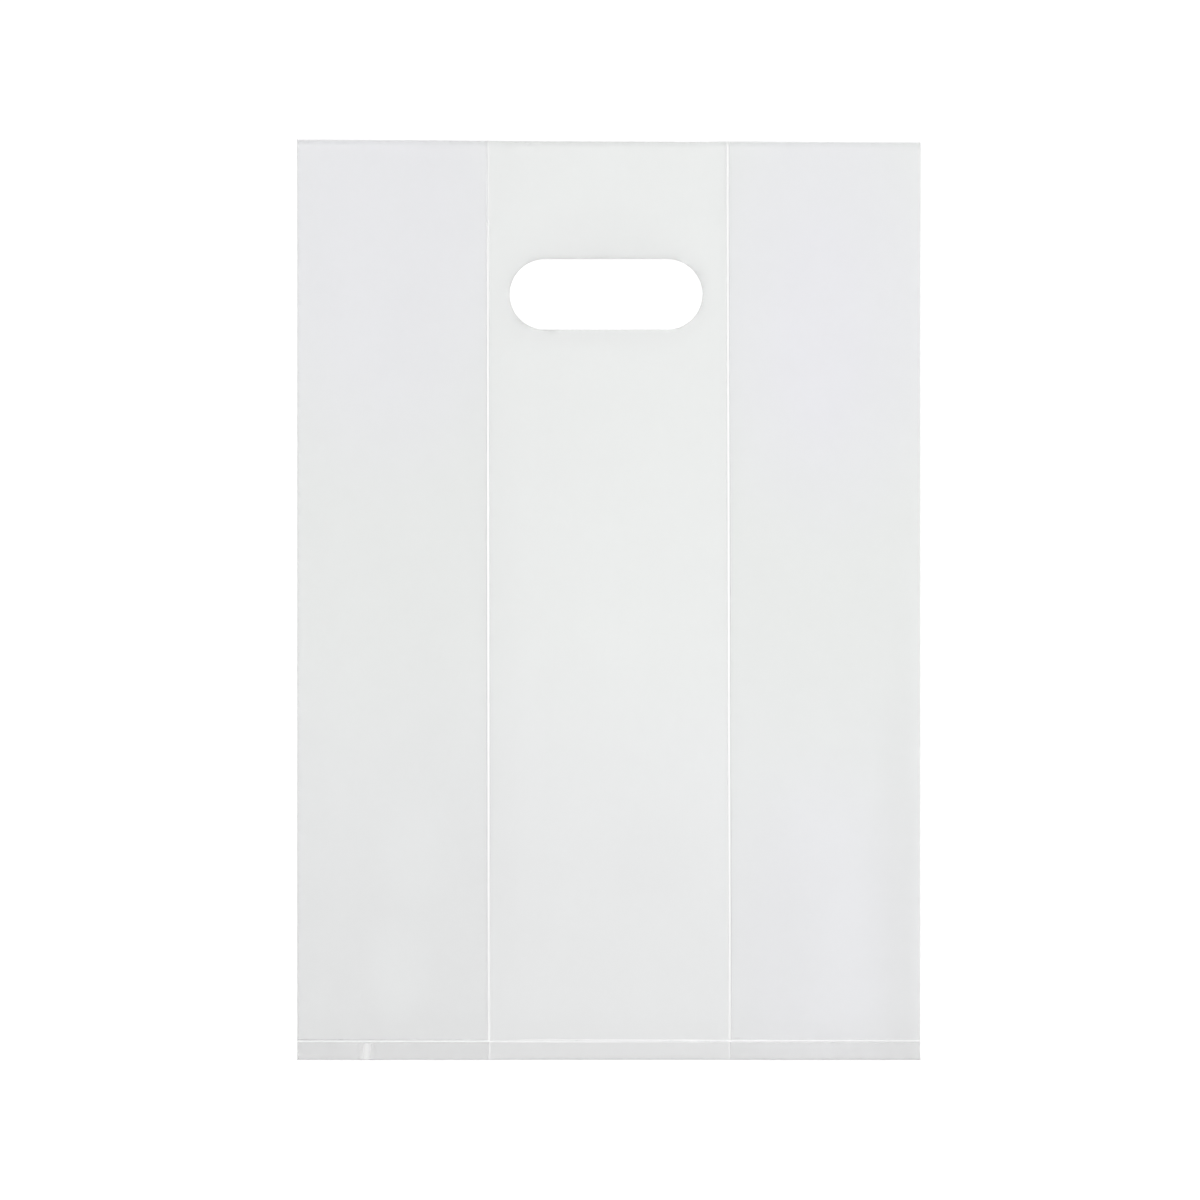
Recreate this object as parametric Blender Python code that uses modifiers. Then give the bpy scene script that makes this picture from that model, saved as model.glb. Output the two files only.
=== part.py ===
"""A clear film carrier bag with tucked-in sides, lying flat on its back panel.

The bag is one tube of film, pressed flat. Each side is folded inwards into a gusset, so that there
are four layers of film along the sides and two in the middle. A weld near the bottom joins all the
layers, and below it a short skirt of loose layers ends in the bottom cut. The mouth at the other end
is open, and an oblong hand hole is punched through the front and back panels below it.

The frame is in metres. X runs across the bag, +Y towards the mouth and +Z up, away from the surface
that the back panel lies on. The origin is at the middle of the bag, on that surface.
"""

from math import cos, pi, sin

import bmesh
import bpy

# The film and the bag's outline
FILM_THICKNESS = 0.00006
BAG_WIDTH = 0.250
BAG_LENGTH = 0.370
MOUTH_SKEW = 0.001  # how much lower the mouth's cut ends at the right than at the left

# The gussets
GUSSET_DEPTH = 0.0767  # outer fold to inner crease

# The hand hole, an oblong with round ends
HOLE_LENGTH = 0.0777
HOLE_HEIGHT = 0.0285
HOLE_DROP = 0.0473  # mouth to the hole's upper edge
HOLE_OFFSET = -0.0012  # the hole's middle from the bag's

# The bottom weld
WELD_RISE = 0.0076  # bottom cut to the weld's middle
WELD_WIDTH = 0.0012
WELD_BEAD = 0.00004  # how far the weld stands above the film

# The air between one layer and the next
SKIRT_GAP = 0.00015
WELD_GAP = 0.00003
BODY_GAP = 0.00030
MOUTH_GAP = 0.00080

# How far the film takes to settle from one height to another
SETTLE_ABOVE_WELD = 0.045
SETTLE_BELOW_MOUTH = 0.060
SETTLE_INSIDE_CREASE = 0.014

# Facets
FOLD_STEPS = 6  # round each half turn of a fold
PANEL_STEPS = 4  # across each of the front panel's three stretches
HOLE_RESOLUTION = 16  # round each quarter of the hole's ends
CUTTER_MARGIN = 0.002

# What follows from the sizes above
MOUTH_Y = BAG_LENGTH / 2
BOTTOM_Y = -BAG_LENGTH / 2
CREASE_X = BAG_WIDTH / 2 - GUSSET_DEPTH


def clear_scene():
    for obj in list(bpy.data.objects):
        bpy.data.objects.remove(obj, do_unlink=True)


def new_collection(name):
    collection = bpy.data.collections.new(name)
    bpy.context.scene.collection.children.link(collection)
    return collection


def film_material():
    material = bpy.data.materials.new("clear_film")
    material.use_nodes = True
    shader = material.node_tree.nodes["Principled BSDF"]
    shader.inputs["Base Color"].default_value = (0.83, 0.84, 0.85, 1.0)
    shader.inputs["Metallic"].default_value = 0.0
    shader.inputs["Roughness"].default_value = 0.28
    shader.inputs["Alpha"].default_value = 0.35
    return material


def eased(share):
    """A smooth rise from 0 to 1."""
    return (1 - cos(pi * share)) / 2


def rows():
    """Each row of the film, as its height up the bag from the bottom cut and its gap between layers."""
    weld_low = WELD_RISE - WELD_WIDTH
    weld_high = WELD_RISE + WELD_WIDTH
    stations = (
        (0.0, SKIRT_GAP, 3),
        (weld_low, WELD_GAP, 1),
        (weld_high, WELD_GAP, 7),
        (weld_high + SETTLE_ABOVE_WELD, BODY_GAP, 6),
        (BAG_LENGTH - SETTLE_BELOW_MOUTH, BODY_GAP, 7),
        (BAG_LENGTH, MOUTH_GAP, 0),
    )
    found = []
    for (start, gap, steps), (end, next_gap, _) in zip(stations, stations[1:]):
        for step in range(steps):
            share = step / steps
            rise = start + (end - start) * share
            found.append((rise, gap + (next_gap - gap) * eased(share)))
    found.append((BAG_LENGTH, MOUTH_GAP))
    return found


def front_height(x, layer):
    """The front panel's height over the back panel: three layers up on the gussets, one between them."""
    into_middle = (CREASE_X - abs(x)) / SETTLE_INSIDE_CREASE
    return layer * (3 - 2 * eased(min(max(into_middle, 0.0), 1.0)))


def spread(start, end, steps):
    """Evenly spaced places from start up to, but not at, end."""
    return [start + (end - start) * step / steps for step in range(steps)]


def half_turn(middle_x, middle_z, radius, side):
    """A fold's points from its upper layer to its lower one, bulging to +X for side 1 and -X for -1."""
    angles = [pi * step / FOLD_STEPS for step in range(FOLD_STEPS + 1)]
    return [(middle_x + side * radius * sin(a), middle_z + radius * cos(a)) for a in angles]


def section(gap):
    """One closed loop of (x, z) along the middle of the film, from the front panel's middle round to it."""
    layer = FILM_THICKNESS + gap  # from the middle of one layer to the middle of the next
    radius = layer / 2
    outer = BAG_WIDTH / 2 - FILM_THICKNESS / 2 - radius
    inner = CREASE_X + radius
    places = spread(0.0, CREASE_X - SETTLE_INSIDE_CREASE, PANEL_STEPS)
    places += spread(CREASE_X - SETTLE_INSIDE_CREASE, CREASE_X, PANEL_STEPS)
    places += spread(CREASE_X, outer, PANEL_STEPS)
    half = [(x, front_height(x, layer)) for x in places]
    half += half_turn(outer, 2.5 * layer, radius, 1)
    half += half_turn(inner, 1.5 * layer, radius, -1)
    half += half_turn(outer, 0.5 * layer, radius, 1)
    half.append((0.0, 0.0))
    return half + [(-x, z) for x, z in half[-2:0:-1]]


def place_row(verts, order, rise, gap):
    """Puts a row's vertices on its section, each by its number round the loop."""
    points = section(gap)
    for vert in verts:
        x, z = points[vert[order]]
        skew = MOUTH_SKEW * (x / BAG_WIDTH + 0.5) * rise / BAG_LENGTH
        vert.co = (x, BOTTOM_Y + rise - skew, z + FILM_THICKNESS / 2)


def film_tube():
    """The folded tube as an open surface, drawn as one loop and extruded row by row up to the mouth."""
    bm = bmesh.new()
    order = bm.verts.layers.int.new("order")
    (rise, gap), *others = rows()
    loop = [bm.verts.new() for _ in section(gap)]
    for number, vert in enumerate(loop):
        vert[order] = number
    edges = [bm.edges.new(pair) for pair in zip(loop, loop[1:] + loop[:1])]
    place_row(loop, order, rise, gap)
    for rise, gap in others:
        made = bmesh.ops.extrude_edge_only(bm, edges=edges)["geom"]
        edges = [item for item in made if isinstance(item, bmesh.types.BMEdge)]
        place_row([item for item in made if isinstance(item, bmesh.types.BMVert)], order, rise, gap)
    bmesh.ops.recalc_face_normals(bm, faces=bm.faces)
    mesh = bpy.data.meshes.new("carrier_bag")
    bm.to_mesh(mesh)
    bm.free()
    return mesh


def weld_strip(collection):
    """The weld: a low bead from the back panel's film up through every layer and just past the front."""
    layer = FILM_THICKNESS + WELD_GAP
    length = BAG_WIDTH - FILM_THICKNESS
    bm = bmesh.new()
    bmesh.ops.create_cube(bm, size=1.0)
    bmesh.ops.scale(bm, vec=(length, WELD_WIDTH, 1.0), verts=bm.verts)
    for x in spread(-CREASE_X, CREASE_X, 6 * PANEL_STEPS) + [CREASE_X]:
        everything = bm.verts[:] + bm.edges[:] + bm.faces[:]
        bmesh.ops.bisect_plane(bm, geom=everything, plane_co=(x, 0, 0), plane_no=(1, 0, 0))
    for vert in bm.verts:
        if vert.co.z > 0:
            vert.co.z = front_height(vert.co.x, layer) + FILM_THICKNESS + WELD_BEAD
            vert.co.y /= 2
        else:
            vert.co.z = FILM_THICKNESS / 2
        vert.co.y += BOTTOM_Y + WELD_RISE
    mesh = bpy.data.meshes.new("weld_strip")
    bm.to_mesh(mesh)
    bm.free()
    return add_cutter(mesh, collection)


def hole_punch(collection):
    """The hand hole's punch: a flat oblong outline, given a depth past both panels."""
    radius = HOLE_HEIGHT / 2
    reach = HOLE_LENGTH / 2 - radius
    handle = radius * 4 / 3 * (2**0.5 - 1)
    curve = bpy.data.curves.new("hole_outline", "CURVE")
    curve.dimensions = "2D"
    curve.fill_mode = "BOTH"
    curve.resolution_u = HOLE_RESOLUTION
    curve.extrude = 2 * (FILM_THICKNESS + MOUTH_GAP) + CUTTER_MARGIN
    spline = curve.splines.new("BEZIER")
    spline.use_cyclic_u = True
    corners = (
        (reach, -radius, 1, 0),
        (reach + radius, 0, 0, 1),
        (reach, radius, -1, 0),
        (-reach, radius, -1, 0),
        (-reach - radius, 0, 0, -1),
        (-reach, -radius, 1, 0),
    )
    spline.bezier_points.add(len(corners) - 1)
    for point, (x, y, along_x, along_y) in zip(spline.bezier_points, corners):
        point.co = (x, y, 0)
        point.handle_left = (x - handle * along_x, y - handle * along_y, 0)
        point.handle_right = (x + handle * along_x, y + handle * along_y, 0)
    outline = bpy.data.objects.new("hole_outline", curve)
    collection.objects.link(outline)
    outline.location = (HOLE_OFFSET, MOUTH_Y - HOLE_DROP - radius, 0)
    bpy.context.view_layer.update()
    solid = bpy.data.meshes.new_from_object(outline.evaluated_get(bpy.context.evaluated_depsgraph_get()))
    bm = bmesh.new()
    bm.from_mesh(solid)
    bmesh.ops.remove_doubles(bm, verts=bm.verts, dist=0.000001)
    bmesh.ops.transform(bm, matrix=outline.matrix_world, verts=bm.verts)
    bmesh.ops.recalc_face_normals(bm, faces=bm.faces)
    bm.to_mesh(solid)
    bm.free()
    bpy.data.objects.remove(outline, do_unlink=True)
    return add_cutter(solid, collection)


def add_cutter(mesh, collection):
    cutter = bpy.data.objects.new(mesh.name, mesh)
    collection.objects.link(cutter)
    cutter.hide_render = True
    cutter.display_type = "WIRE"
    return cutter


def add_boolean(obj, name, operation, other):
    boolean = obj.modifiers.new(name, "BOOLEAN")
    boolean.operation = operation
    boolean.solver = "EXACT"
    boolean.object = other


def carrier_bag(parts, cutters):
    """The whole bag: the tube given its film's thickness, then punched and welded."""
    bag = bpy.data.objects.new("carrier_bag", film_tube())
    bag.data.materials.append(film_material())
    parts.objects.link(bag)
    film = bag.modifiers.new("film", "SOLIDIFY")
    film.thickness = FILM_THICKNESS
    film.offset = 0.0
    film.use_even_offset = True
    film.use_quality_normals = True
    add_boolean(bag, "hand_hole", "DIFFERENCE", hole_punch(cutters))
    add_boolean(bag, "bottom_weld", "UNION", weld_strip(cutters))
    return bag


clear_scene()
carrier_bag(new_collection("plastic_carrier_bag"), new_collection("cutters"))
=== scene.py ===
# %% [markdown]
# # A clear film carrier bag
# The bag is one tube of thin film, pressed flat on a table, with a gusset tucked in at each side, a
# punched hand hole and a weld near the bottom. Film this thin is mostly seen by its haze: every layer
# scatters a little white light, so four layers look a little different from two, and each fold and
# weld, where the film is stretched white and a painted highlight stands for the light it catches, shows
# as a bright line. This script models the film with its real thickness, folds it as the factory does,
# and then gives it that haze, with painted shade and painted light in its colour.

# %% Load the imported model
from math import ceil, pi

import bmesh
import bpy
import numpy as np
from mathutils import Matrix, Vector, noise


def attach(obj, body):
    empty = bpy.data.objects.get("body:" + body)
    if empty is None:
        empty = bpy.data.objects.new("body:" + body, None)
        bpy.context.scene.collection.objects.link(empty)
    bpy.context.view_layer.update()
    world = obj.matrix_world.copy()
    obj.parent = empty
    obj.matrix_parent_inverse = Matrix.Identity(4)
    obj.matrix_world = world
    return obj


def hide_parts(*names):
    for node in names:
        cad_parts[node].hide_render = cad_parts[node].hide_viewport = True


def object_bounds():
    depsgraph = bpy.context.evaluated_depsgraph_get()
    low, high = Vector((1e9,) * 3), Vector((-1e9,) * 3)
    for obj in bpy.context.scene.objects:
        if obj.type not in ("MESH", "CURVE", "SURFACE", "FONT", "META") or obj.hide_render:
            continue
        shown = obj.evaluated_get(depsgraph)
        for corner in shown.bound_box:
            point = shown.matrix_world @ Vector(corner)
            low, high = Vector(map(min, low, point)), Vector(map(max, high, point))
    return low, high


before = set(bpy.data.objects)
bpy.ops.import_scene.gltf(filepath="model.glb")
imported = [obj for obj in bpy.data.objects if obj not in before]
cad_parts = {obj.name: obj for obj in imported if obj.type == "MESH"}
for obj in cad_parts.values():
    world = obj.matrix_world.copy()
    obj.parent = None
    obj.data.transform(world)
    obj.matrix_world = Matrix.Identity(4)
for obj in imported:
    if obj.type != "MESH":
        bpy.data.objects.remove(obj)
cad_low, cad_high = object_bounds()
print("solid model, mm:", [round(1000 * side, 2) for side in cad_high - cad_low])

# %% [markdown]
# ## The sizes
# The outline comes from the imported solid. The folds lie inside it, so their sizes are named again here.
# A few places, such as faint marks in the film, are only known from the photograph, so one small
# function turns its pixels into metres on the bag.

# %% The bag's sizes, in metres
FILM = 0.00006
BAG_WIDTH = cad_high.x - cad_low.x
LENGTH_TRIM = 0.0010  # the photographed bag is this much shorter than the solid
BAG_LENGTH = cad_high.y - cad_low.y - LENGTH_TRIM
MOUTH_SKEW = 0.0012  # how much lower the mouth's cut ends at the right than at the left
GUSSET_DEPTH = 0.0767
CREASE_X = BAG_WIDTH / 2 - GUSSET_DEPTH

# How far each crease leans left from the bottom cut to the mouth, and how far left the right one lies
LEFT_LEAN = 0.0005
RIGHT_LEAN = 0.00105
RIGHT_SHIFT = 0.0002

HOLE_LENGTH = 0.0773
HOLE_HEIGHT = 0.0282
HOLE_DROP = 0.0478  # mouth to the hole's upper edge
HOLE_OFFSET = -0.0011  # the hole's middle from the bag's

WELD_RISE = 0.0076
WELD_WIDTH = 0.0012
WELD_BEAD = 0.00004  # how far the weld stands above the film
WELD_TILT = 0.0006  # how much lower the weld's line runs at the right than at the left

# The air between one layer and the next, and how far the film takes to settle from one to another
SKIRT_GAP = 0.00015
WELD_GAP = 0.00003
BODY_GAP = 0.00033
MOUTH_GAP = 0.00085
SETTLE_ABOVE_WELD = 0.045
SETTLE_BELOW_MOUTH = 0.060
SETTLE_INSIDE_CREASE = 0.014

# %% The photograph's scale
PHOTO_SIDE = 1200
PHOTO_LEFT = 297.5
PHOTO_RIGHT = 920.0
PHOTO_TOP = 140.0
PHOTO_BOTTOM = 1060.0
PIXEL = BAG_WIDTH / (PHOTO_RIGHT - PHOTO_LEFT)


def from_photo(column, row):
    """The place on the bag, in metres, that this pixel shows."""
    x = (column - (PHOTO_LEFT + PHOTO_RIGHT) / 2) * PIXEL
    y = ((PHOTO_TOP + PHOTO_BOTTOM) / 2 - row) * PIXEL
    return x, y


print(f"one pixel is {1000 * PIXEL:.3f} mm")

# %% [markdown]
# ## The camera
# The photograph's outline has parallel sides, so it was taken from straight above with a long lens.
# The distance follows from the lens, the sensor and the width of the whole picture in metres.

# %% A long lens, straight above
LENS_MM = 90.0
SENSOR_MM = 36.0
HEIGHT_SHARE = 0.999  # fits the bag's outline to the photographed one
CLIP_START = 0.01

camera = bpy.data.objects.new("camera", bpy.data.cameras.new("camera"))
bpy.context.scene.collection.objects.link(camera)
camera.data.lens = LENS_MM
camera.data.sensor_width = SENSOR_MM
middle_x, middle_y = from_photo(PHOTO_SIDE / 2, PHOTO_SIDE / 2)
distance = HEIGHT_SHARE * PHOTO_SIDE * PIXEL * LENS_MM / SENSOR_MM
camera.location = (middle_x, middle_y, distance)
camera.data.clip_start = CLIP_START
bpy.context.scene.camera = camera
print(f"camera {distance:.3f} m above the bag")

# %% [markdown]
# ## Folding the tube
# A bag like this is blown as a round tube of film, flattened between rollers while two plates push the
# sides in. The same moves work on a plane: it starts as the back panel, and each side edge is spun half
# a turn for the outer fold, extruded inwards for the lower leaf of the gusset, spun back for the inner
# crease, extruded outwards for the upper leaf, spun again and extruded to the middle, where the two
# sides meet as the front panel.

# %% Helpers for edit mode
def deselect_everything():
    """Clears the selection, which would otherwise still hold the imported solid."""
    for obj in list(bpy.context.selected_objects):
        obj.select_set(False)


def start_editing(obj):
    """Enters edit mode on one object, with nothing in it selected."""
    deselect_everything()
    obj.select_set(True)
    bpy.context.view_layer.objects.active = obj
    bpy.ops.object.mode_set(mode="EDIT")
    bpy.ops.mesh.select_mode(type="VERT")
    bpy.ops.mesh.select_all(action="DESELECT")


def select_where(obj, test):
    """Selects the vertices whose place passes a test, with the edges between them."""
    mesh = bmesh.from_edit_mesh(obj.data)
    for vert in mesh.verts:
        vert.select_set(test(vert.co))
    mesh.select_flush(True)
    bmesh.update_edit_mesh(obj.data)


def slice_at(place, normal):
    """Cuts every face that crosses a plane, so that a row or column of vertices lies there."""
    bpy.ops.mesh.select_all(action="SELECT")
    bpy.ops.mesh.bisect(plane_co=place, plane_no=normal)


def finish_editing():
    bpy.ops.object.mode_set(mode="OBJECT")


# %% Fold the sides in
LAYER = FILM + BODY_GAP
FOLD_RADIUS = LAYER / 2
FOLD_STEPS = 8
OUTER_X = BAG_WIDTH / 2 - FILM / 2 - FOLD_RADIUS
INNER_X = CREASE_X + FOLD_RADIUS
SAME_PLACE = 0.000001


def half_fold(x, layers_up, side):
    """Spins the leading edge half a turn upwards, bulging to +X for side 1 and to -X for side -1."""
    centre = (x, 0.0, FILM / 2 + layers_up * LAYER)
    bpy.ops.mesh.spin(steps=FOLD_STEPS, angle=side * pi, center=centre, axis=(0.0, 1.0, 0.0))


def leaf(length):
    """Extrudes the leading edge sideways into a flat leaf."""
    bpy.ops.mesh.extrude_edges_move(TRANSFORM_OT_translate={"value": (length, 0.0, 0.0)})


deselect_everything()
bpy.ops.mesh.primitive_plane_add(size=1.0, location=(0.0, 0.0, FILM / 2))
bag = bpy.context.active_object
bag.name = "bag_film"
bag.scale = (2 * OUTER_X, BAG_LENGTH, 1.0)
bpy.ops.object.transform_apply(location=True, rotation=True, scale=True)

for side in (1, -1):
    start_editing(bag)
    select_where(bag, lambda co: abs(co.x - side * OUTER_X) < SAME_PLACE and co.z < LAYER / 2)
    half_fold(side * OUTER_X, 0.5, side)
    leaf(-side * (OUTER_X - INNER_X))
    half_fold(side * INNER_X, 1.5, -side)
    leaf(side * (OUTER_X - INNER_X))
    half_fold(side * OUTER_X, 2.5, side)
    leaf(-side * OUTER_X)
    finish_editing()

start_editing(bag)
bpy.ops.mesh.select_all(action="SELECT")
bpy.ops.mesh.remove_doubles(threshold=SAME_PLACE)
bpy.ops.mesh.select_all(action="SELECT")
bpy.ops.mesh.normals_make_consistent(inside=False)
finish_editing()
print("folded tube:", len(bag.data.vertices), "vertices")

# %% [markdown]
# ## Rows and columns to shape
# The folded tube is all long flat strips. To let the film swell, settle and pinch, it needs vertices:
# wide ones over the panels, and close ones where something happens within a millimetre, at the creases,
# the weld and the two cuts. Bisect cuts all four layers at once, which keeps them in step.

# %% Cut the rows and columns
def spaced(start, end, most):
    """Even places from start to end, both included, at most this far apart."""
    count = ceil((end - start) / most)
    return [start + (end - start) * number / count for number in range(count + 1)]


PANEL_STEP = 0.0045
FINE_STEPS = (0.0003, 0.0006, 0.0010, 0.0016, 0.0028)  # out from a crease or the weld
CLEAR_OF_FINE = 1.2 * FINE_STEPS[-1]
SKIRT_SHARES = (0.2, 0.4, 0.6)  # of the way up the skirt
bottom_y = -BAG_LENGTH / 2
weld_y = bottom_y + WELD_RISE

columns = spaced(-OUTER_X, OUTER_X, PANEL_STEP)[1:-1]
for side in (1, -1):
    columns = [x for x in columns if abs(x - side * CREASE_X) > CLEAR_OF_FINE]
    columns += [side * CREASE_X + way * step for way in (1, -1) for step in FINE_STEPS]

rows = [y for y in spaced(bottom_y, -bottom_y, PANEL_STEP)[1:-1] if y > weld_y + PANEL_STEP]
rows += [bottom_y + share * WELD_RISE for share in SKIRT_SHARES]
rows += [weld_y + way * step for way in (1, -1) for step in FINE_STEPS[1:4]]

start_editing(bag)
for x in columns:
    slice_at((x, 0.0, 0.0), (1.0, 0.0, 0.0))
for y in rows:
    slice_at((0.0, y, 0.0), (0.0, 1.0, 0.0))
finish_editing()
print("cut into", len(columns), "columns and", len(rows), "rows:", len(bag.data.vertices), "vertices")

# %% [markdown]
# ## Pressing and swelling the layers
# Real film is never dead flat: a little air stays between the layers, more at the open mouth and none
# at the weld, and it swells here and there. The height of every vertex is therefore its layer number
# times the local spacing of the layers. Because all layers share that spacing, they never cross.

# %% The local spacing of the layers
def eased(share):
    """A smooth rise from 0 to 1, which stays level outside that range."""
    return (1 - np.cos(pi * np.clip(share, 0.0, 1.0))) / 2


def gap_at(rise):
    """The air between layers at a height above the bottom cut."""
    weld_low = WELD_RISE - WELD_WIDTH
    weld_high = WELD_RISE + WELD_WIDTH
    skirt = SKIRT_GAP + (WELD_GAP - SKIRT_GAP) * eased(rise / weld_low)
    body = WELD_GAP + (BODY_GAP - WELD_GAP) * eased((rise - weld_high) / SETTLE_ABOVE_WELD)
    flare = eased((rise - BAG_LENGTH + SETTLE_BELOW_MOUTH) / SETTLE_BELOW_MOUTH)
    return np.where(rise < WELD_RISE, skirt, body + (MOUTH_GAP - BODY_GAP) * flare)


SWELL_LENGTH = 0.075
SWELL_SHARE = 0.60
RIPPLE_LENGTH = 0.022
RIPPLE_SHARE = 0.25


def swell_at(x, y):
    """How much wider the layers stand apart here: long soft swells with a smaller ripple on them."""
    found = np.empty(len(x))
    for number, (across, along) in enumerate(zip(x, y)):
        slow = noise.noise(Vector((across / SWELL_LENGTH, along / (1.8 * SWELL_LENGTH), 3.7)))
        quick = noise.noise(Vector((across / RIPPLE_LENGTH, along / (3 * RIPPLE_LENGTH), 9.1)))
        found[number] = 1 + SWELL_SHARE * slow + RIPPLE_SHARE * quick
    return found


# %% Move the vertices
FOLD_BLEND = 0.004
FRONT_LEVEL = 3  # the front panel lies three layers above the back panel over the gussets
LEAVES = 2  # and sinks by the gusset's two leaves between them
ALMOST = 0.001
mesh = bag.data
places = np.empty(3 * len(mesh.vertices))
mesh.vertices.foreach_get("co", places)
x, y, z = places.reshape(-1, 3).T
level = (z - FILM / 2) / LAYER
rise = y - bottom_y

on_front = level > FRONT_LEVEL - ALMOST
on_back = level < ALMOST
settled = eased((CREASE_X - np.abs(x)) / SETTLE_INSIDE_CREASE)
level_now = np.where(on_front, FRONT_LEVEL - LEAVES * settled, level)
spacing = FILM + gap_at(rise) * swell_at(x, y)

# A fold is as round as its layers stand apart, so its width follows their spacing
away = np.abs(x)
shrink = spacing / 2 - FOLD_RADIUS
outer_bend = np.maximum(away - OUTER_X, 0.0) / FOLD_RADIUS
outer_move = np.where(away > OUTER_X - SAME_PLACE, shrink * (outer_bend - 1), 0.0)
inner_bend = np.clip((away - CREASE_X) / FOLD_RADIUS, 0.0, 1.0)
inner_move = shrink * inner_bend * (1 - eased((away - INNER_X) / FOLD_BLEND))
away_now = away + outer_move + np.where(on_front | on_back, 0.0, inner_move)

# The creases lean a little, and the film between the folds goes with them
folded_in = np.clip((BAG_WIDTH / 2 - away) / GUSSET_DEPTH, 0.0, 1.0)
to_right = eased((x / CREASE_X + 1) / 2)
lean = LEFT_LEAN + (RIGHT_LEAN - LEFT_LEAN) * to_right
new_x = np.sign(x) * away_now - folded_in * (lean * y / BAG_LENGTH + RIGHT_SHIFT * to_right)
new_y = y - MOUTH_SKEW * (x / BAG_WIDTH + 0.5) * (rise / BAG_LENGTH)
new_z = FILM / 2 + level_now * spacing
mesh.vertices.foreach_set("co", np.column_stack((new_x, new_y, new_z)).ravel())

mesh.update()
print(f"layers stand up to {1000 * new_z.max():.2f} mm high")

# %% [markdown]
# ## What changes slowly over the film
# The photographed film isn't even: painted shade makes it a little darker towards the bottom and the
# left and beside its folds, creases and hole, painted light gives it soft lighter places, and it is bluer
# over parts of the gussets. Its creases' stretched white and painted highlight are strongest in the
# middle of their length. All of that is wider than the columns and rows, so it is kept on the vertices,
# as attributes that the material reads.

# %% Values kept on the vertices
def keep_on_vertices(name, values):
    attribute = mesh.attributes.new(name, "FLOAT", "POINT")
    attribute.data.foreach_set("value", values)
    print(f"{name}: from {values.min():.2f} to {values.max():.2f}")


def spot(column, row, half_width, half_height):
    """1 in the middle of a soft oval, given in the photograph's pixels, and 0 outside it."""
    spot_x, spot_y = from_photo(column, row)
    sideways = (x - spot_x) / (half_width * PIXEL)
    lengthways = (y - spot_y) / (half_height * PIXEL)
    return eased(1 - sideways**2 - lengthways**2)


def grain(across, along, seed):
    """Noise from -1 to 1 at each vertex, this long across and along the bag."""
    found = [noise.noise(Vector((a / across, b / along, seed))) for a, b in zip(x, y)]
    return np.array(found)


# %% How many shades of painted shade each place has, one shade being about a 255th of white
LEFT_DIM_FROM, LEFT_DIM_OVER = 0.030, 0.110
WELD_DIM_FROM, WELD_DIM_OVER = 0.016, 0.014

# Painted shade: darker towards the bottom, just above the weld and to the left, beside the right fold and
# the creases, in a patch low in the middle, and above and below the hole
towards_bottom = 6.5 * eased(-y / (BAG_LENGTH / 2))
towards_weld = 2.0 * eased((weld_y + WELD_DIM_FROM - y) / WELD_DIM_OVER)
towards_left = 2.5 * eased((LEFT_DIM_FROM - x) / LEFT_DIM_OVER)
painted_shade_beside_right_fold = 3.0 * spot(905, 850, 40, 420)
painted_shade_by_creases = 1.5 * spot(503, 680, 22, 420) + 1.0 * spot(765, 960, 60, 160)
low_middle = 1.5 * spot(655, 855, 50, 60)
painted_shade_around_hole = 2.5 * spot(605, 236, 95, 34) + 1.2 * spot(605, 338, 95, 16)
darker = towards_bottom + towards_weld + towards_left + painted_shade_beside_right_fold
darker += painted_shade_by_creases + low_middle + painted_shade_around_hole

# %% How many shades of painted light each place has, and a faint unevenness
RIGHT_LIGHT_FROM, RIGHT_LIGHT_OVER = 0.035, 0.020

# Painted light: lighter over the right gusset and in soft patches at the right, the left and the middle
over_right_gusset = 2.0 * eased((x - RIGHT_LIGHT_FROM) / RIGHT_LIGHT_OVER) + 1.5 * spot(828, 600, 60, 560)
right_patches = 3.5 * spot(885, 200, 30, 130) + 2.0 * spot(855, 960, 45, 110)
right_patches += 1.5 * spot(810, 640, 45, 200)
left_patches = 3.5 * spot(400, 970, 38, 70) + 2.5 * spot(415, 850, 45, 80)
middle_patch = 1.5 * spot(630, 575, 60, 120)
lighter = over_right_gusset + right_patches + left_patches + middle_patch
unevenness = 0.8 * grain(0.030, 0.060, 5.3) + 0.5 * grain(0.007, 0.090, 2.9)
# The painted shade less the painted light, with the faint unevenness, kept as one value
keep_on_vertices("darker", darker - lighter + unevenness)

# %% Tint, layer and how strong the creases' stretched white and painted highlight are
over_gussets = (np.abs(x) > CREASE_X - SAME_PLACE) * 1.0
upper_blue = 0.85 * spot(385, 230, 170, 300) + 0.8 * spot(825, 300, 150, 280)
upper_blue += 0.3 * spot(820, 330, 60, 150)
lower_blue = 0.5 * spot(820, 950, 120, 230)
blue_below_middle = 0.27 * eased(-y / (BAG_LENGTH / 4))
bluer = (upper_blue + lower_blue) * over_gussets + blue_below_middle
keep_on_vertices("bluer", np.clip(bluer, 0.0, 1.0))

# 1 on the gusset's leaves, which are levels 1 to 2, and 0 on the two panels, which are levels 0 and 3
keep_on_vertices("tucked", np.clip(1.5 - np.abs(level - 1.5), 0.0, 1.0))

# The creases' stretched white and painted highlight are weaker towards the ends and at the upper left
lost_at_ends = 0.35 * eased(np.abs(y) / (BAG_LENGTH / 2))
lost_at_upper_left = 0.4 * spot(488, 150, 60, 130)
keep_on_vertices("stretch_white_and_highlight", np.clip(1.0 - lost_at_ends - lost_at_upper_left, 0.0, 1.0))

# %% [markdown]
# ## Thickness, hand hole and weld
# Solidify gives the open sheet the film's real thickness, so its cut edges have a face. The hand hole
# is punched after that, through both panels: the punch is a cylinder whose two halves are pulled apart.
# The weld is a low bead through all the layers, joined to them with a union, as heat does.

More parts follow.
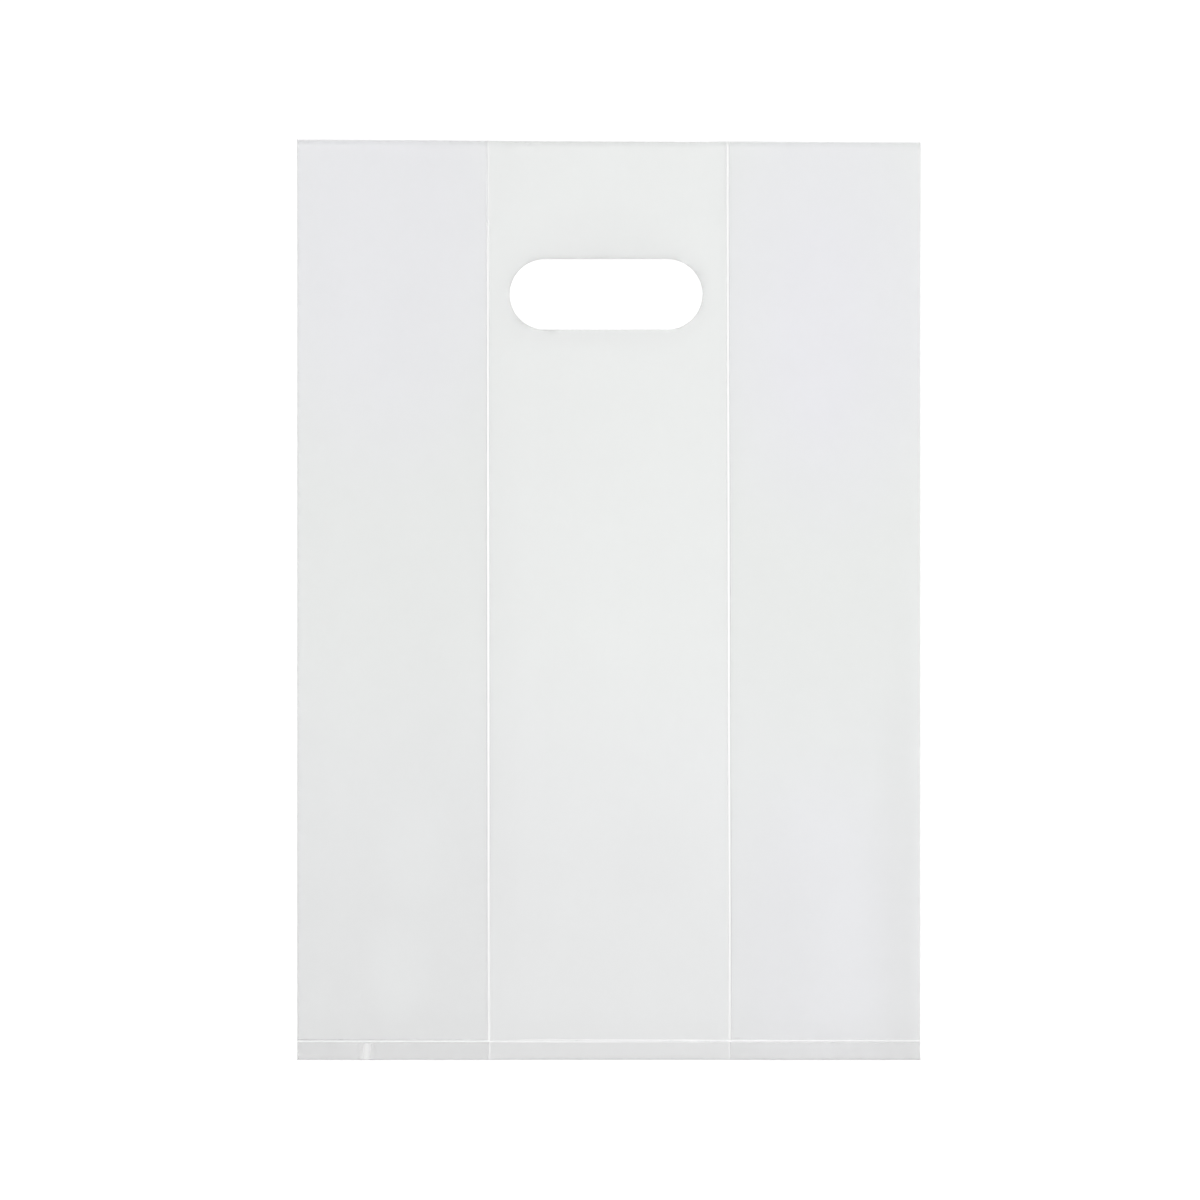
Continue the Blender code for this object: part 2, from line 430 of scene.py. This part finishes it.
# %% Give the sheet its thickness
def apply_modifier(obj, name):
    deselect_everything()
    obj.select_set(True)
    bpy.context.view_layer.objects.active = obj
    bpy.ops.object.modifier_apply(modifier=name)


def report(title, obj):
    """Prints a mesh's faces, its open edges and the plastic that it holds."""
    checked = bmesh.new()
    checked.from_mesh(obj.data)
    loose = sum(not edge.is_manifold for edge in checked.edges)
    volume = checked.calc_volume(signed=True) * 1e9
    print(f"{title}: {len(checked.faces)} faces, {loose} open edges, {volume:.1f} mm3")
    checked.free()


film = bag.modifiers.new("film", "SOLIDIFY")
film.thickness = FILM
film.offset = 0.0
film.use_even_offset = True
apply_modifier(bag, film.name)
report("film with its thickness", bag)

# %% Punch the hand hole
PUNCH_SIDES = 96
PUNCH_DEPTH = 0.02
hole_x = HOLE_OFFSET
hole_y = BAG_LENGTH / 2 - HOLE_DROP - HOLE_HEIGHT / 2
reach = (HOLE_LENGTH - HOLE_HEIGHT) / 2


def combine(obj, tool, operation):
    """Joins or cuts with another closed shape, then removes that shape."""
    boolean = obj.modifiers.new(tool.name, "BOOLEAN")
    boolean.operation = operation
    boolean.solver = "EXACT"
    boolean.object = tool
    apply_modifier(obj, boolean.name)
    bpy.data.objects.remove(tool, do_unlink=True)


deselect_everything()
bpy.ops.mesh.primitive_cylinder_add(
    vertices=PUNCH_SIDES, radius=HOLE_HEIGHT / 2, depth=PUNCH_DEPTH, location=(hole_x, hole_y, 0.0)
)
punch = bpy.context.active_object
bpy.ops.object.transform_apply(location=True, rotation=True, scale=True)
for side in (1, -1):
    start_editing(punch)
    select_where(punch, lambda co: side * (co.x - hole_x) > SAME_PLACE)
    bpy.ops.transform.translate(value=(side * reach, 0.0, 0.0))
    finish_editing()
combine(bag, punch, "DIFFERENCE")
report("punched", bag)

# %% Weld the bottom
weld_spacing = FILM + WELD_GAP
WELD_STEP = 0.003

deselect_everything()
bpy.ops.mesh.primitive_cube_add(size=1.0, location=(0.0, weld_y, 0.0))
weld = bpy.context.active_object
weld.scale = (BAG_WIDTH - FILM, WELD_WIDTH, 1.0)
bpy.ops.object.transform_apply(location=True, rotation=True, scale=True)
start_editing(weld)
for x_cut in spaced(-CREASE_X, CREASE_X, WELD_STEP):
    slice_at((x_cut, 0.0, 0.0), (1.0, 0.0, 0.0))
finish_editing()
for vert in weld.data.vertices:
    if vert.co.z > 0:
        inside = eased((CREASE_X - abs(vert.co.x)) / SETTLE_INSIDE_CREASE)
        vert.co.z = (FRONT_LEVEL - LEAVES * inside) * weld_spacing + FILM + WELD_BEAD
        vert.co.y = weld_y + (vert.co.y - weld_y) / 2
    else:
        vert.co.z = FILM / 2
combine(bag, weld, "UNION")
bag.data.polygons.foreach_set("use_smooth", [True] * len(bag.data.polygons))
report("welded", bag)

# %% [markdown]
# ## Shader maths
# Most of the film's look is arithmetic on its place: how far from a crease, how near the weld. A small
# class lets that arithmetic be written as Python expressions, each of which adds one Math node.

# %% A socket that Python can calculate with
class Wire:
    """One value flowing through a node tree."""

    def __init__(self, graph, socket):
        self.graph = graph
        self.socket = socket

    def math(self, operation, *others):
        settings = {"operation": operation}
        values = {number: value for number, value in enumerate((self, *others))}
        return self.graph.node("ShaderNodeMath", settings, values)

    def __add__(self, other):
        return self.math("ADD", other)

    def __sub__(self, other):
        return self.math("SUBTRACT", other)

    def __mul__(self, other):
        return self.math("MULTIPLY", other)

    def __truediv__(self, other):
        return self.math("DIVIDE", other)

    def __abs__(self):
        return self.math("ABSOLUTE")

    def __rsub__(self, other):
        return self * -1.0 + other

    __radd__ = __add__
    __rmul__ = __mul__


class Graph:
    """A material's or the world's nodes, added one call at a time."""

    def __init__(self, owner):
        owner.use_nodes = True
        self.tree = owner.node_tree
        self.tree.nodes.clear()

    def node(self, kind, settings=None, values=None, output=0):
        made = self.tree.nodes.new(kind)
        for name, value in (settings or {}).items():
            setattr(made, name, value)
        for name, value in (values or {}).items():
            if isinstance(value, Wire):
                self.tree.links.new(value.socket, made.inputs[name])
            else:
                made.inputs[name].default_value = value
        return Wire(self, made.outputs[output])

    def split(self, vector):
        """A vector's three parts."""
        made = self.node("ShaderNodeSeparateXYZ", None, {0: vector}).socket.node
        return [Wire(self, part) for part in made.outputs]

    def output(self, surface, kind="ShaderNodeOutputMaterial"):
        """Ends the tree in this surface."""
        end = self.tree.nodes.new(kind)
        self.tree.links.new(surface.socket, end.inputs["Surface"])

    def falling(self, distance, near, far):
        """1 where the distance is under near, falling smoothly to 0 at far."""
        settings = {"interpolation_type": "SMOOTHSTEP"}
        values = {"Value": distance, "From Min": near, "From Max": far, "To Min": 1.0, "To Max": 0.0}
        return self.node("ShaderNodeMapRange", settings, values)

    def mixed(self, share, first, second):
        """Two colours mixed by a share from 0 to 1."""
        settings = {"data_type": "RGBA", "clamp_factor": True}
        return self.node("ShaderNodeMix", settings, {0: share, 6: first, 7: second}, output=2)

    def kept(self, name):
        """A value kept on the mesh's vertices."""
        return self.node("ShaderNodeAttribute", {"attribute_name": name}, None, output=2)


# %% [markdown]
# ## The film
# Each face of the film lets most light through and scatters the rest. Principled's Alpha is that share:
# the layers then add up by themselves. The colour is a cold light grey, a little greener in the middle,
# where there are two layers, and bluer over the gussets, with painted shade and painted light in it.
# Folds and welds are stretched white and cloudy, with a painted highlight for the light that the fold
# and the bead catch, and a thin line of painted shade on each side where the film bends away.

# %% The film's material
PANEL_HAZE = 0.20
LEAF_HAZE = 0.02
OBJECT_COORDINATES = 3
film_material = bpy.data.materials.new("clear_film")
g = Graph(film_material)
px, py, _ = g.split(g.node("ShaderNodeTexCoord", output=OBJECT_COORDINATES))
tucked_in = g.kept("tucked")
print("film haze per face:", PANEL_HAZE, "and", LEAF_HAZE)

# %% How far each place is from the folds, the weld, the cuts and the hole
right_share = 1.0 - g.falling(px, -CREASE_X, CREASE_X)
leaning = right_share * (RIGHT_LEAN - LEFT_LEAN) + LEFT_LEAN
across = px + py * leaning / BAG_LENGTH + right_share * RIGHT_SHIFT
from_crease = abs(abs(across) - CREASE_X)
from_weld = abs(py - weld_y + px * (WELD_TILT / BAG_WIDTH))
from_left = px + BAG_WIDTH / 2
from_right = BAG_WIDTH / 2 - px
from_bottom = py + BAG_LENGTH / 2
past_end = (abs(px - HOLE_OFFSET) - reach).math("MAXIMUM", 0.0)
off_middle = py - hole_y
from_hole = (past_end * past_end + off_middle * off_middle).math("SQRT") - HOLE_HEIGHT / 2

# %% Folds and weld stretched white, with a painted highlight on them and painted shade beside them
CREASE_CORE, CREASE_END = 0.0003, 0.0009
WELD_CORE, WELD_HAZE_END, WELD_WHITE_END = 0.0002, 0.0005, 0.0007
FLANK_MIDDLE, FLANK_CORE, FLANK_END = 0.0012, 0.0001, 0.0006
SKIRT_BLEND = 0.001
SKIRT_LOSS = 0.6  # the creases are less white in the skirt
WHITER_FROM, WHITER_TO = 0.010, CREASE_X + 0.020  # the weld is whiter at the right

in_skirt = g.falling(py, weld_y - SKIRT_BLEND, weld_y)
# The crease's stretched white also carries a painted highlight of the rounded fold
crease = g.falling(from_crease, CREASE_CORE, CREASE_END)
crease_strength = g.kept("stretch_white_and_highlight") * (1.0 - in_skirt * SKIRT_LOSS)
crease_white_and_highlight = crease * (crease_strength * 2.0).math("MINIMUM", 1.0)
# A thin line of painted shade on each side of a crease
painted_shade_beside_crease = g.falling(abs(from_crease - FLANK_MIDDLE), FLANK_CORE, FLANK_END)

# The weld's stretched white also carries a painted highlight of its bead
weld_right = 1.0 - g.falling(px, WHITER_FROM, WHITER_TO)
weld_line = g.falling(from_weld, WELD_CORE, WELD_HAZE_END)
weld_white_and_highlight = g.falling(from_weld, WELD_CORE, WELD_WHITE_END) * (weld_right * 0.3 + 0.05)
# A thin line of painted shade on each side of the weld
painted_shade_beside_weld = g.falling(abs(from_weld - FLANK_MIDDLE), FLANK_CORE, FLANK_END)

# %% Thin marks, where the film was creased a little: painted highlights on small wrinkles, and a line of painted shade beside the right crease
def thin_mark(column, top, bottom, half_width, lean=0.0):
    """1 along a thin upright mark between two of the photograph's rows, leaning right towards its top."""
    mark_x, high_y = from_photo(column, top)
    _, low_y = from_photo(column, bottom)
    half_height = (high_y - low_y) / 2
    sideways = abs(px - mark_x - (py - low_y) * lean)
    lengthways = abs(py - (high_y + low_y) / 2)
    within = g.falling(lengthways, 0.7 * half_height, half_height)
    return g.falling(sideways, 0.0, half_width * PIXEL) * within


# Painted highlights on three small wrinkles, the last one in the skirt
wide_wrinkle_highlight = thin_mark(820, 540, 700, 9)
curl_wrinkle_highlight = thin_mark(516, 488, 548, 2.5, 0.09)
skirt_wrinkle_highlight = thin_mark(366, 1041, 1063, 13.0, 0.08)
# A short line of painted shade beside the right crease, below the mouth
painted_shade_by_right_crease = thin_mark(724.7, 110, 222, 2.0)

# %% How many shades darker the film is than its lightest: each place's share times its shades
ONE_SHADE = 0.056
LEFT_FOLD_CORE, LEFT_FOLD_END = 0.0004, 0.0012
RIGHT_FOLD_CORE, RIGHT_FOLD_END = 0.0008, 0.0035
BOTTOM_CUT_CORE, BOTTOM_CUT_END = 0.0005, 0.0013
HOLE_RIM_END = 0.009

shades = g.kept("darker") + in_skirt * 5.0
shades = shades + painted_shade_beside_crease * 1.5 + painted_shade_beside_weld * 0.8
# Painted shade along the left fold, the bottom cut and the rim of the hole
shades = shades + g.falling(from_left, LEFT_FOLD_CORE, LEFT_FOLD_END) * 9.0
shades = shades + g.falling(from_bottom, BOTTOM_CUT_CORE, BOTTOM_CUT_END) * 18.0
shades = shades + g.falling(from_hole, 0.0, HOLE_RIM_END) * 3.5
# Painted light along the right fold and on the wrinkles, and the painted shade line by the right crease
shades = shades - g.falling(from_right, RIGHT_FOLD_CORE, RIGHT_FOLD_END) * 4.0
shades = shades - wide_wrinkle_highlight * 2.0 - curl_wrinkle_highlight * 5.0 + painted_shade_by_right_crease * 8.0

# %% Colour and haze
MIDDLE_TINT = (0.712, 0.733, 0.722, 1.0)
BLUE_TINT = (0.719, 0.72, 0.765, 1.0)
WHITE_AND_HIGHLIGHT = (1.0, 1.0, 1.0, 1.0)
SHADED = (0.52, 0.52, 0.525, 1.0)
CREASE_HAZE = 0.75
MARK_HAZE = 0.35
WELD_HAZE = 0.34
GLOSS = {"Roughness": 0.2, "IOR": 1.5, "Specular IOR Level": 0.75}

colour = g.mixed(g.kept("bluer"), MIDDLE_TINT, BLUE_TINT)
# The painted shade and light, with the skirt's darkness and the unevenness, mix in a darker grey
colour = g.mixed(shades * ONE_SHADE, colour, SHADED)
# Stretched white with a painted highlight on the creases and the weld, and a painted highlight on the
# skirt's wrinkle
white = crease_white_and_highlight.math("MAXIMUM", weld_white_and_highlight).math("MAXIMUM", skirt_wrinkle_highlight)
colour = g.mixed(white, colour, WHITE_AND_HIGHLIGHT)

haze = (1.0 - tucked_in) * (PANEL_HAZE - LEAF_HAZE) + LEAF_HAZE
haze = haze.math("MAXIMUM", crease * crease_strength * CREASE_HAZE)
haze = haze.math("MAXIMUM", skirt_wrinkle_highlight * MARK_HAZE)
haze = haze.math("MAXIMUM", weld_line * WELD_HAZE)

principled = g.node("ShaderNodeBsdfPrincipled", None, {"Base Color": colour, "Alpha": haze, **GLOSS})
g.output(principled)
bag.data.materials.clear()
bag.data.materials.append(film_material)

# %% Tie the piece to the frame
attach(bag, "root")
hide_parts("carrier_bag")

# %% [markdown]
# ## Floor, light and background
# The photograph was cut out on white. A floor that adds a little white of its own, only for the camera,
# gives that background and still keeps the bag's soft shadow. A lamp could light the bag, but each of
# its shadow rays has to pass through up to eight faces of film, which is slow. So the world itself
# gives the light, as a white studio does: dim low down, bright overhead, with one soft bright patch.

# %% The floor
FLOOR_SIDE = 30.0
FLOOR_Z = -0.00005
FLOOR_GREY = (0.9, 0.9, 0.9, 1.0)
PURE_WHITE = (1.0, 1.0, 1.0, 1.0)
GLOW_STRENGTH = 1.12
GLOW_SHARE = 0.8

deselect_everything()
bpy.ops.mesh.primitive_plane_add(size=FLOOR_SIDE, location=(0.0, 0.0, FLOOR_Z))
floor = bpy.context.active_object
floor.name = "floor"
floor_material = bpy.data.materials.new("white_floor")
f = Graph(floor_material)
diffuse = f.node("ShaderNodeBsdfDiffuse", None, {"Color": FLOOR_GREY})
glow = f.node("ShaderNodeEmission", None, {"Color": PURE_WHITE, "Strength": GLOW_STRENGTH})
floor_rays = f.tree.nodes.new("ShaderNodeLightPath").outputs
seen = Wire(f, floor_rays["Is Camera Ray"]) + Wire(f, floor_rays["Is Glossy Ray"])
seen = seen + Wire(f, floor_rays["Is Transmission Ray"])
glow_share = seen.math("MINIMUM", 1.0) * GLOW_SHARE
f.output(f.node("ShaderNodeMixShader", None, {0: glow_share, 1: diffuse, 2: glow}))
floor_material.cycles.emission_sampling = "NONE"
floor.data.materials.append(floor_material)

# %% The world: dim low down, bright overhead, with a softly bright patch for a lamp
LOW_LEVEL = 0.30
HIGH_LEVEL = 1.29
DIM_BELOW, BRIGHT_ABOVE = 0.20, 0.85  # how far a direction points upwards, from 0 to 1
PATCH_LEVEL = 1.6
PATCH_TOWARDS = Vector((-0.25, 0.62, 0.74)).normalized()
PATCH_CORE, PATCH_END = 0.01, 0.12

world = bpy.data.worlds.new("world")
bpy.context.scene.world = world
w = Graph(world)
direction = w.node("ShaderNodeTexCoord", output=0)
upwards = w.split(direction)[2]
dot_product = {"operation": "DOT_PRODUCT"}
facing = w.node("ShaderNodeVectorMath", dot_product, {0: direction, 1: PATCH_TOWARDS}, output=1)
patch = w.falling(1.0 - facing, PATCH_CORE, PATCH_END)
overall = HIGH_LEVEL - w.falling(upwards, DIM_BELOW, BRIGHT_ABOVE) * (HIGH_LEVEL - LOW_LEVEL)
sky_level = overall + patch * PATCH_LEVEL
sky = w.node("ShaderNodeBackground", None, {"Color": PURE_WHITE, "Strength": sky_level})
backdrop = w.node("ShaderNodeBackground", None, {"Color": PURE_WHITE, "Strength": 1.0})
straight = Wire(w, w.tree.nodes.new("ShaderNodeLightPath").outputs["Is Camera Ray"])
world_mix = w.node("ShaderNodeMixShader", None, {0: straight, 1: sky, 2: backdrop})
w.output(world_mix, "ShaderNodeOutputWorld")
world.cycles.sampling_method = "NONE"
print("world levels:", LOW_LEVEL, "to", HIGH_LEVEL, "and", PATCH_LEVEL, "more in the patch")

# %% Finish
TRANSPARENT_BOUNCES = 32  # enough for every face that a ray meets in a fold seen from low down
DIFFUSE_BOUNCES = 2
bpy.context.scene.view_settings.view_transform = "Standard"
bpy.context.scene.cycles.transparent_max_bounces = TRANSPARENT_BOUNCES
bpy.context.scene.cycles.diffuse_bounces = DIFFUSE_BOUNCES
